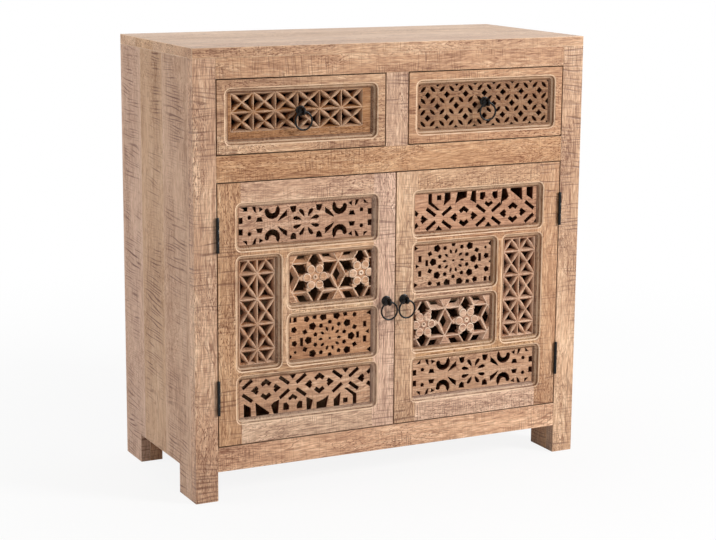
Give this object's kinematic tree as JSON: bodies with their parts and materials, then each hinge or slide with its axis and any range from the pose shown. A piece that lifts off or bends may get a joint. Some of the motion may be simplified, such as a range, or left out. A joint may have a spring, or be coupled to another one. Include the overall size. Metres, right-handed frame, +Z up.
{
  "type": "carved sideboard",
  "caption": "Mango wood sideboard with drawers over hinged doors, fronted with recessed pierced and chip-carved jali panels and black iron ring pulls.",
  "frame": {"origin": "on the floor, under the middle of the whole piece, pulls included", "axes": "+X to the right as seen from the front, +Y to the back, +Z up"},
  "size_m": [0.88, 0.4232, 0.9],
  "materials": {
    "wood_case": "waxed, brushed grain",
    "wood_carved": "waxed, hand carved",
    "wood_inner": "bare sawn",
    "iron_black": "black, half gloss"
  },
  "bodies": {
    "carcass": {"top_board": "wood_case", "left_side_panel": "wood_case", "right_side_panel": "wood_case", "front_stiles": "wood_case", "top_front_rail": "wood_case", "middle_front_rail": "wood_case", "bottom_front_rail": "wood_case", "drawer_mullion": "wood_case", "foot_blocks": "wood_inner", "back_rails": "wood_inner", "back_panel": "wood_inner", "cabinet_floor": "wood_inner", "shelf": "wood_inner", "shelf_cleats": "wood_inner", "drawer_deck": "wood_inner", "door_stop": "wood_inner", "drawer_divider": "wood_inner", "drawer_guides": "wood_inner", "drawer_kickers": "wood_inner", "hinge_frame_leaves": "iron_black", "hinge_pins": "iron_black"},
    "left_drawer": {"left_drawer_front": "wood_case", "left_drawer_jali": "wood_carved", "left_drawer_sides": "wood_inner", "left_drawer_back": "wood_inner", "left_drawer_bottom": "wood_inner", "left_drawer_pull_base": "iron_black"},
    "left_drawer_ring": {"left_drawer_pull_ring": "iron_black"},
    "left_door": {"left_door_stiles": "wood_case", "left_door_end_rails": "wood_case", "left_door_cross_rails": "wood_case", "left_door_inner_bars": "wood_case", "left_door_scroll_jali": "wood_carved", "left_door_star_jali": "wood_carved", "left_door_flower_jali": "wood_carved", "left_door_rosette_jali": "wood_carved", "left_door_strap_jali": "wood_carved", "left_door_hinge_leaves": "iron_black", "left_door_pull_base": "iron_black"},
    "left_door_ring": {"left_door_pull_ring": "iron_black"},
    "right_drawer": {"right_drawer_front": "wood_case", "right_drawer_jali": "wood_carved", "right_drawer_sides": "wood_inner", "right_drawer_back": "wood_inner", "right_drawer_bottom": "wood_inner", "right_drawer_pull_base": "iron_black"},
    "right_drawer_ring": {"right_drawer_pull_ring": "iron_black"},
    "right_door": {"right_door_stiles": "wood_case", "right_door_end_rails": "wood_case", "right_door_cross_rails": "wood_case", "right_door_inner_bars": "wood_case", "right_door_scroll_jali": "wood_carved", "right_door_star_jali": "wood_carved", "right_door_flower_jali": "wood_carved", "right_door_rosette_jali": "wood_carved", "right_door_strap_jali": "wood_carved", "right_door_hinge_leaves": "iron_black", "right_door_pull_base": "iron_black"},
    "right_door_ring": {"right_door_pull_ring": "iron_black"}
  },
  "joints": [
    {"name": "left_drawer_slide", "type": "slide", "parent": "carcass", "child": "left_drawer", "axis": [0, -1, 0], "range_m": [0, 0.26]},
    {"name": "left_door_hinge", "type": "hinge", "parent": "carcass", "child": "left_door", "pos_m": [-0.391, -0.1919, 0.375], "axis": [0, 0, -1], "range_deg": [0, 170]},
    {"name": "left_door_ring_swing", "type": "hinge", "parent": "left_door", "child": "left_door_ring", "pos_m": [-0.02025, -0.2034, 0.3747], "axis": [-1, 0, 0], "range_deg": [-18, 95]},
    {"name": "left_drawer_ring_swing", "type": "hinge", "parent": "left_drawer", "child": "left_drawer_ring", "pos_m": [-0.2085, -0.1924, 0.7707], "axis": [-1, 0, 0], "range_deg": [-18, 95]},
    {"name": "right_drawer_slide", "type": "slide", "parent": "carcass", "child": "right_drawer", "axis": [0, -1, 0], "range_m": [0, 0.26]},
    {"name": "right_door_hinge", "type": "hinge", "parent": "carcass", "child": "right_door", "pos_m": [0.391, -0.1919, 0.375], "axis": [0, 0, 1], "range_deg": [0, 170]},
    {"name": "right_door_ring_swing", "type": "hinge", "parent": "right_door", "child": "right_door_ring", "pos_m": [0.02025, -0.2034, 0.3747], "axis": [-1, 0, 0], "range_deg": [-18, 95]},
    {"name": "right_drawer_ring_swing", "type": "hinge", "parent": "right_drawer", "child": "right_drawer_ring", "pos_m": [0.2085, -0.1924, 0.7707], "axis": [-1, 0, 0], "range_deg": [-18, 95]}
  ]
}
